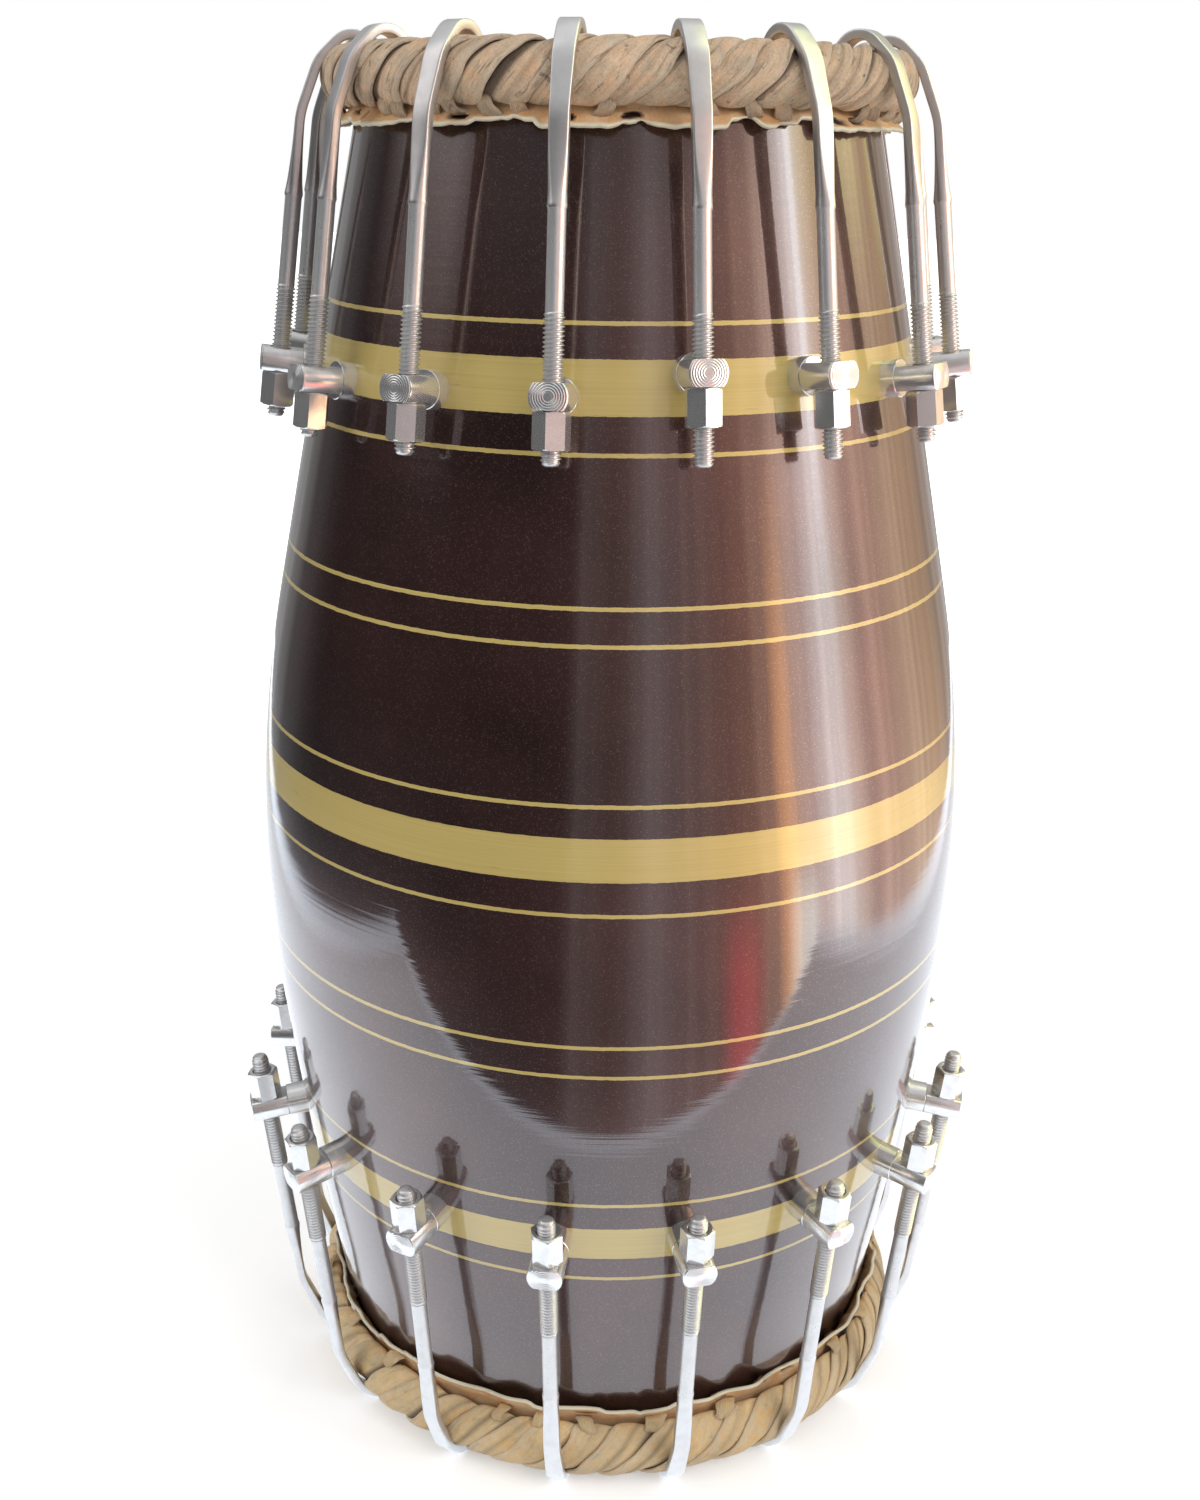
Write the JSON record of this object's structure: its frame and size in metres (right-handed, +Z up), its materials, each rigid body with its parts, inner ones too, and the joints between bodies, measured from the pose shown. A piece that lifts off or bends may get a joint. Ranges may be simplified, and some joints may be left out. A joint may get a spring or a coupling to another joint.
{
  "type": "mridangam",
  "caption": "Bolt-tuned barrel hand drum: hollow lacquered shell with two plaited hide heads, drawn tight by steel hooks, posts and nuts round each end.",
  "frame": {"origin": "on the ground under the middle of the drum, which stands on the bends of its bass hooks", "axes": "+Z up the shell from the bass head to the treble head; -Y towards the front of the picture, +X to its right"},
  "size_m": [0.2794, 0.281, 0.4916],
  "materials": {
    "lacquered_wood": "gloss metallic lacquer with gold painted bands",
    "plated_steel": "bright plated",
    "hoop_steel": "plain steel",
    "plaited_hide": "dry raw hide straps",
    "rim_hide": "dry raw hide",
    "playing_hide": "scraped goat skin",
    "black_paste": "polished black paste"
  },
  "bodies": {
    "drum": {"shell": "lacquered_wood", "tuning_posts": "plated_steel", "head_hoops": "hoop_steel", "treble_playing_skin": "playing_hide", "treble_rim_skin": "rim_hide", "treble_plait": "plaited_hide", "tuning_patch": "black_paste", "bass_playing_skin": "playing_hide", "bass_rim_skin": "rim_hide", "bass_plait": "plaited_hide", "bass_hooks": "plated_steel"},
    "treble_hook_01": {"treble_hook_01": "plated_steel"},
    "treble_nut_01": {"treble_nut_01": "plated_steel"},
    "treble_hook_02": {"treble_hook_02": "plated_steel"},
    "treble_nut_02": {"treble_nut_02": "plated_steel"},
    "treble_hook_03": {"treble_hook_03": "plated_steel"},
    "treble_nut_03": {"treble_nut_03": "plated_steel"},
    "treble_hook_04": {"treble_hook_04": "plated_steel"},
    "treble_nut_04": {"treble_nut_04": "plated_steel"},
    "treble_hook_05": {"treble_hook_05": "plated_steel"},
    "treble_nut_05": {"treble_nut_05": "plated_steel"},
    "treble_hook_06": {"treble_hook_06": "plated_steel"},
    "treble_nut_06": {"treble_nut_06": "plated_steel"},
    "treble_hook_07": {"treble_hook_07": "plated_steel"},
    "treble_nut_07": {"treble_nut_07": "plated_steel"},
    "treble_hook_08": {"treble_hook_08": "plated_steel"},
    "treble_nut_08": {"treble_nut_08": "plated_steel"},
    "treble_hook_09": {"treble_hook_09": "plated_steel"},
    "treble_nut_09": {"treble_nut_09": "plated_steel"},
    "treble_hook_10": {"treble_hook_10": "plated_steel"},
    "treble_nut_10": {"treble_nut_10": "plated_steel"},
    "treble_hook_11": {"treble_hook_11": "plated_steel"},
    "treble_nut_11": {"treble_nut_11": "plated_steel"},
    "treble_hook_12": {"treble_hook_12": "plated_steel"},
    "treble_nut_12": {"treble_nut_12": "plated_steel"},
    "treble_hook_13": {"treble_hook_13": "plated_steel"},
    "treble_nut_13": {"treble_nut_13": "plated_steel"},
    "treble_hook_14": {"treble_hook_14": "plated_steel"},
    "treble_nut_14": {"treble_nut_14": "plated_steel"},
    "treble_hook_15": {"treble_hook_15": "plated_steel"},
    "treble_nut_15": {"treble_nut_15": "plated_steel"},
    "treble_hook_16": {"treble_hook_16": "plated_steel"},
    "treble_nut_16": {"treble_nut_16": "plated_steel"},
    "bass_nut_01": {"bass_nut_01": "plated_steel"},
    "bass_nut_02": {"bass_nut_02": "plated_steel"},
    "bass_nut_03": {"bass_nut_03": "plated_steel"},
    "bass_nut_04": {"bass_nut_04": "plated_steel"},
    "bass_nut_05": {"bass_nut_05": "plated_steel"},
    "bass_nut_06": {"bass_nut_06": "plated_steel"},
    "bass_nut_07": {"bass_nut_07": "plated_steel"},
    "bass_nut_08": {"bass_nut_08": "plated_steel"},
    "bass_nut_09": {"bass_nut_09": "plated_steel"},
    "bass_nut_10": {"bass_nut_10": "plated_steel"},
    "bass_nut_11": {"bass_nut_11": "plated_steel"},
    "bass_nut_12": {"bass_nut_12": "plated_steel"},
    "bass_nut_13": {"bass_nut_13": "plated_steel"},
    "bass_nut_14": {"bass_nut_14": "plated_steel"},
    "bass_nut_15": {"bass_nut_15": "plated_steel"},
    "bass_nut_16": {"bass_nut_16": "plated_steel"}
  },
  "joints": [
    {"name": "treble_nut_01_turn", "type": "hinge", "parent": "drum", "child": "treble_nut_01", "pos_m": [-0.11186, -0.0248, 0.3913], "axis": [-0.13, -0.0288, -0.9911], "range_deg": [0, 2160]},
    {"name": "treble_hook_01_draw", "type": "slide", "parent": "drum", "child": "treble_hook_01", "axis": [0.13, 0.0288, 0.9911], "range_m": [0, 0.00762]},
    {"name": "treble_nut_02_turn", "type": "hinge", "parent": "drum", "child": "treble_nut_02", "pos_m": [-0.09371, -0.06593, 0.3913], "axis": [-0.1089, -0.0766, -0.9911], "range_deg": [0, 2160]},
    {"name": "treble_hook_02_draw", "type": "slide", "parent": "drum", "child": "treble_hook_02", "axis": [0.1089, 0.0766, 0.9911], "range_m": [0, 0.00762]},
    {"name": "treble_nut_03_turn", "type": "hinge", "parent": "drum", "child": "treble_nut_03", "pos_m": [-0.06079, -0.09712, 0.3913], "axis": [-0.0707, -0.1129, -0.9911], "range_deg": [0, 2160]},
    {"name": "treble_hook_03_draw", "type": "slide", "parent": "drum", "child": "treble_hook_03", "axis": [0.0707, 0.1129, 0.9911], "range_m": [0, 0.00762]},
    {"name": "treble_nut_04_turn", "type": "hinge", "parent": "drum", "child": "treble_nut_04", "pos_m": [-0.01785, -0.11318, 0.3913], "axis": [-0.0207, -0.1315, -0.9911], "range_deg": [0, 2160]},
    {"name": "treble_hook_04_draw", "type": "slide", "parent": "drum", "child": "treble_hook_04", "axis": [0.0207, 0.1315, 0.9911], "range_m": [0, 0.00762]},
    {"name": "treble_nut_05_turn", "type": "hinge", "parent": "drum", "child": "treble_nut_05", "pos_m": [0.02518, -0.11178, 0.3913], "axis": [0.0293, -0.1299, -0.9911], "range_deg": [0, 2160]},
    {"name": "treble_hook_05_draw", "type": "slide", "parent": "drum", "child": "treble_hook_05", "axis": [-0.0293, 0.1299, 0.9911], "range_m": [0, 0.00762]},
    {"name": "treble_nut_06_turn", "type": "hinge", "parent": "drum", "child": "treble_nut_06", "pos_m": [0.06357, -0.09533, 0.3913], "axis": [0.0739, -0.1108, -0.9911], "range_deg": [0, 2160]},
    {"name": "treble_hook_06_draw", "type": "slide", "parent": "drum", "child": "treble_hook_06", "axis": [-0.0739, 0.1108, 0.9911], "range_m": [0, 0.00762]},
    {"name": "treble_nut_07_turn", "type": "hinge", "parent": "drum", "child": "treble_nut_07", "pos_m": [0.09628, -0.06211, 0.3913], "axis": [0.1119, -0.0722, -0.9911], "range_deg": [0, 2160]},
    {"name": "treble_hook_07_draw", "type": "slide", "parent": "drum", "child": "treble_hook_07", "axis": [-0.1119, 0.0722, 0.9911], "range_m": [0, 0.00762]},
    {"name": "treble_nut_08_turn", "type": "hinge", "parent": "drum", "child": "treble_nut_08", "pos_m": [0.11284, -0.0199, 0.3913], "axis": [0.1311, -0.0231, -0.9911], "range_deg": [0, 2160]},
    {"name": "treble_hook_08_draw", "type": "slide", "parent": "drum", "child": "treble_hook_08", "axis": [-0.1311, 0.0231, 0.9911], "range_m": [0, 0.00762]},
    {"name": "treble_nut_09_turn", "type": "hinge", "parent": "drum", "child": "treble_nut_09", "pos_m": [0.11186, 0.0248, 0.3913], "axis": [0.13, 0.0288, -0.9911], "range_deg": [0, 2160]},
    {"name": "treble_hook_09_draw", "type": "slide", "parent": "drum", "child": "treble_hook_09", "axis": [-0.13, -0.0288, 0.9911], "range_m": [0, 0.00762]},
    {"name": "treble_nut_10_turn", "type": "hinge", "parent": "drum", "child": "treble_nut_10", "pos_m": [0.09371, 0.06593, 0.3913], "axis": [0.1089, 0.0766, -0.9911], "range_deg": [0, 2160]},
    {"name": "treble_hook_10_draw", "type": "slide", "parent": "drum", "child": "treble_hook_10", "axis": [-0.1089, -0.0766, 0.9911], "range_m": [0, 0.00762]},
    {"name": "treble_nut_11_turn", "type": "hinge", "parent": "drum", "child": "treble_nut_11", "pos_m": [0.06079, 0.09712, 0.3913], "axis": [0.0707, 0.1129, -0.9911], "range_deg": [0, 2160]},
    {"name": "treble_hook_11_draw", "type": "slide", "parent": "drum", "child": "treble_hook_11", "axis": [-0.0707, -0.1129, 0.9911], "range_m": [0, 0.00762]},
    {"name": "treble_nut_12_turn", "type": "hinge", "parent": "drum", "child": "treble_nut_12", "pos_m": [0.01785, 0.11318, 0.3913], "axis": [0.0207, 0.1315, -0.9911], "range_deg": [0, 2160]},
    {"name": "treble_hook_12_draw", "type": "slide", "parent": "drum", "child": "treble_hook_12", "axis": [-0.0207, -0.1315, 0.9911], "range_m": [0, 0.00762]},
    {"name": "treble_nut_13_turn", "type": "hinge", "parent": "drum", "child": "treble_nut_13", "pos_m": [-0.02518, 0.11178, 0.3913], "axis": [-0.0293, 0.1299, -0.9911], "range_deg": [0, 2160]},
    {"name": "treble_hook_13_draw", "type": "slide", "parent": "drum", "child": "treble_hook_13", "axis": [0.0293, -0.1299, 0.9911], "range_m": [0, 0.00762]},
    {"name": "treble_nut_14_turn", "type": "hinge", "parent": "drum", "child": "treble_nut_14", "pos_m": [-0.06357, 0.09533, 0.3913], "axis": [-0.0739, 0.1108, -0.9911], "range_deg": [0, 2160]},
    {"name": "treble_hook_14_draw", "type": "slide", "parent": "drum", "child": "treble_hook_14", "axis": [0.0739, -0.1108, 0.9911], "range_m": [0, 0.00762]},
    {"name": "treble_nut_15_turn", "type": "hinge", "parent": "drum", "child": "treble_nut_15", "pos_m": [-0.09628, 0.06211, 0.3913], "axis": [-0.1119, 0.0722, -0.9911], "range_deg": [0, 2160]},
    {"name": "treble_hook_15_draw", "type": "slide", "parent": "drum", "child": "treble_hook_15", "axis": [0.1119, -0.0722, 0.9911], "range_m": [0, 0.00762]},
    {"name": "treble_nut_16_turn", "type": "hinge", "parent": "drum", "child": "treble_nut_16", "pos_m": [-0.11284, 0.0199, 0.3913], "axis": [-0.1311, 0.0231, -0.9911], "range_deg": [0, 2160]},
    {"name": "treble_hook_16_draw", "type": "slide", "parent": "drum", "child": "treble_hook_16", "axis": [0.1311, -0.0231, 0.9911], "range_m": [0, 0.00762]},
    {"name": "bass_nut_01_turn", "type": "hinge", "parent": "drum", "child": "bass_nut_01", "pos_m": [-0.13015, -0.03252, 0.1088], "axis": [-0.107, -0.0267, 0.9939], "range_deg": [0, 2160]},
    {"name": "bass_nut_02_turn", "type": "hinge", "parent": "drum", "child": "bass_nut_02", "pos_m": [-0.10685, -0.08113, 0.1088], "axis": [-0.0878, -0.0667, 0.9939], "range_deg": [0, 2160]},
    {"name": "bass_nut_03_turn", "type": "hinge", "parent": "drum", "child": "bass_nut_03", "pos_m": [-0.06524, -0.11722, 0.1088], "axis": [-0.0536, -0.0964, 0.9939], "range_deg": [0, 2160]},
    {"name": "bass_nut_04_turn", "type": "hinge", "parent": "drum", "child": "bass_nut_04", "pos_m": [-0.01842, -0.13289, 0.1088], "axis": [-0.0151, -0.1093, 0.9939], "range_deg": [0, 2160]},
    {"name": "bass_nut_05_turn", "type": "hinge", "parent": "drum", "child": "bass_nut_05", "pos_m": [0.03043, -0.13066, 0.1088], "axis": [0.025, -0.1074, 0.9939], "range_deg": [0, 2160]},
    {"name": "bass_nut_06_turn", "type": "hinge", "parent": "drum", "child": "bass_nut_06", "pos_m": [0.07695, -0.10989, 0.1088], "axis": [0.0633, -0.0904, 0.9939], "range_deg": [0, 2160]},
    {"name": "bass_nut_07_turn", "type": "hinge", "parent": "drum", "child": "bass_nut_07", "pos_m": [0.11263, -0.07289, 0.1088], "axis": [0.0926, -0.0599, 0.9939], "range_deg": [0, 2160]},
    {"name": "bass_nut_08_turn", "type": "hinge", "parent": "drum", "child": "bass_nut_08", "pos_m": [0.13212, -0.0233, 0.1088], "axis": [0.1086, -0.0192, 0.9939], "range_deg": [0, 2160]},
    {"name": "bass_nut_09_turn", "type": "hinge", "parent": "drum", "child": "bass_nut_09", "pos_m": [0.13015, 0.03252, 0.1088], "axis": [0.107, 0.0267, 0.9939], "range_deg": [0, 2160]},
    {"name": "bass_nut_10_turn", "type": "hinge", "parent": "drum", "child": "bass_nut_10", "pos_m": [0.10685, 0.08113, 0.1088], "axis": [0.0878, 0.0667, 0.9939], "range_deg": [0, 2160]},
    {"name": "bass_nut_11_turn", "type": "hinge", "parent": "drum", "child": "bass_nut_11", "pos_m": [0.06524, 0.11722, 0.1088], "axis": [0.0536, 0.0964, 0.9939], "range_deg": [0, 2160]},
    {"name": "bass_nut_12_turn", "type": "hinge", "parent": "drum", "child": "bass_nut_12", "pos_m": [0.01842, 0.13289, 0.1088], "axis": [0.0151, 0.1093, 0.9939], "range_deg": [0, 2160]},
    {"name": "bass_nut_13_turn", "type": "hinge", "parent": "drum", "child": "bass_nut_13", "pos_m": [-0.03043, 0.13066, 0.1088], "axis": [-0.025, 0.1074, 0.9939], "range_deg": [0, 2160]},
    {"name": "bass_nut_14_turn", "type": "hinge", "parent": "drum", "child": "bass_nut_14", "pos_m": [-0.07695, 0.10989, 0.1088], "axis": [-0.0633, 0.0904, 0.9939], "range_deg": [0, 2160]},
    {"name": "bass_nut_15_turn", "type": "hinge", "parent": "drum", "child": "bass_nut_15", "pos_m": [-0.11263, 0.07289, 0.1088], "axis": [-0.0926, 0.0599, 0.9939], "range_deg": [0, 2160]},
    {"name": "bass_nut_16_turn", "type": "hinge", "parent": "drum", "child": "bass_nut_16", "pos_m": [-0.13212, 0.0233, 0.1088], "axis": [-0.1086, 0.0192, 0.9939], "range_deg": [0, 2160]}
  ],
  "couplings": [
    {"joint": "treble_nut_01_turn", "follows": "treble_hook_01_draw", "rad_per_m": 4947.4},
    {"joint": "treble_nut_02_turn", "follows": "treble_hook_02_draw", "rad_per_m": 4947.4},
    {"joint": "treble_nut_03_turn", "follows": "treble_hook_03_draw", "rad_per_m": 4947.4},
    {"joint": "treble_nut_04_turn", "follows": "treble_hook_04_draw", "rad_per_m": 4947.4},
    {"joint": "treble_nut_05_turn", "follows": "treble_hook_05_draw", "rad_per_m": 4947.4},
    {"joint": "treble_nut_06_turn", "follows": "treble_hook_06_draw", "rad_per_m": 4947.4},
    {"joint": "treble_nut_07_turn", "follows": "treble_hook_07_draw", "rad_per_m": 4947.4},
    {"joint": "treble_nut_08_turn", "follows": "treble_hook_08_draw", "rad_per_m": 4947.4},
    {"joint": "treble_nut_09_turn", "follows": "treble_hook_09_draw", "rad_per_m": 4947.4},
    {"joint": "treble_nut_10_turn", "follows": "treble_hook_10_draw", "rad_per_m": 4947.4},
    {"joint": "treble_nut_11_turn", "follows": "treble_hook_11_draw", "rad_per_m": 4947.4},
    {"joint": "treble_nut_12_turn", "follows": "treble_hook_12_draw", "rad_per_m": 4947.4},
    {"joint": "treble_nut_13_turn", "follows": "treble_hook_13_draw", "rad_per_m": 4947.4},
    {"joint": "treble_nut_14_turn", "follows": "treble_hook_14_draw", "rad_per_m": 4947.4},
    {"joint": "treble_nut_15_turn", "follows": "treble_hook_15_draw", "rad_per_m": 4947.4},
    {"joint": "treble_nut_16_turn", "follows": "treble_hook_16_draw", "rad_per_m": 4947.4}
  ]
}
